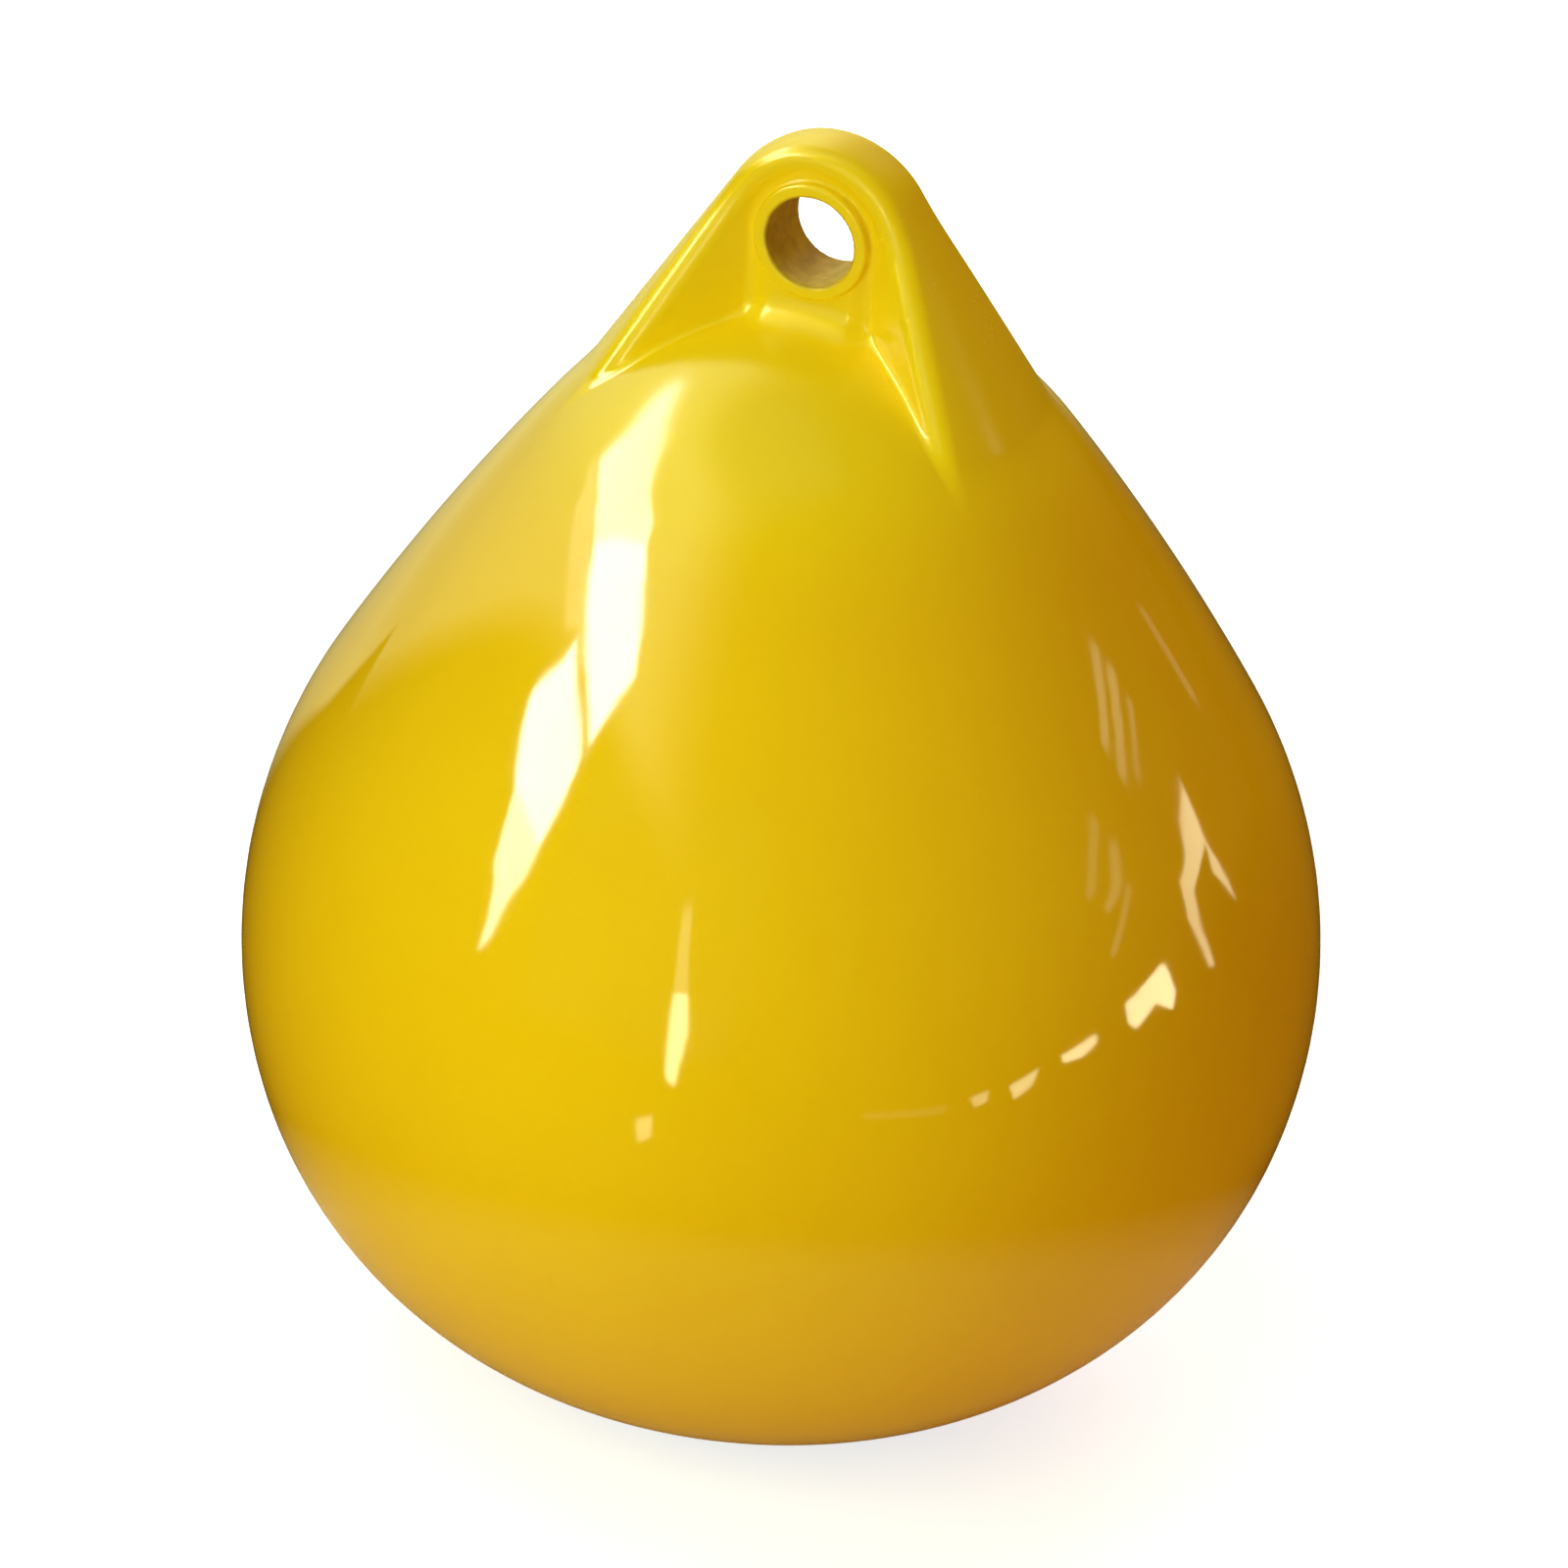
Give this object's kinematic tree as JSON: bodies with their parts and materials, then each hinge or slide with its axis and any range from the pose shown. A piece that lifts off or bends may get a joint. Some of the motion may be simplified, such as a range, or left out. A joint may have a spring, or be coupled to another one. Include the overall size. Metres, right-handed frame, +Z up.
{
  "type": "inflatable boat fender",
  "caption": "Round teardrop buoy fender of inflated moulded PVC with a recessed rope eye on top and a screw-plug air valve on its rear shoulder.",
  "frame": {"origin": "centre of the rope eye's bore, where the fender hangs", "axes": "+Z up along the fender's axis, +Y along the bore towards the side with the valve, +X across the eye towards one rib"},
  "size_m": [0.2799, 0.28, 0.3507],
  "materials": {
    "fender_pvc": "glossy moulded PVC, lemon to golden yellow",
    "valve_plastic": "satin black moulded plastic",
    "seal_rubber": "matt black rubber",
    "plug_plastic": "satin black moulded plastic"
  },
  "bodies": {
    "fender": {"fender_body": "fender_pvc", "valve_insert": "valve_plastic"},
    "seal": {"valve_seal": "seal_rubber"},
    "plug": {"valve_plug": "plug_plastic"}
  },
  "joints": [
    {"name": "valve_lift", "type": "slide", "parent": "fender", "child": "seal", "axis": [0, 0.7899, 0.6133], "range_m": [0, 0.0075]},
    {"name": "valve_turn", "type": "hinge", "parent": "seal", "child": "plug", "pos_m": [0, 0.072, -0.05962], "axis": [0, 0.7899, 0.6133], "range_deg": [0, 1800.5]}
  ],
  "couplings": [
    {"joint": "valve_turn", "follows": "valve_lift", "rad_per_m": 4188.8}
  ]
}
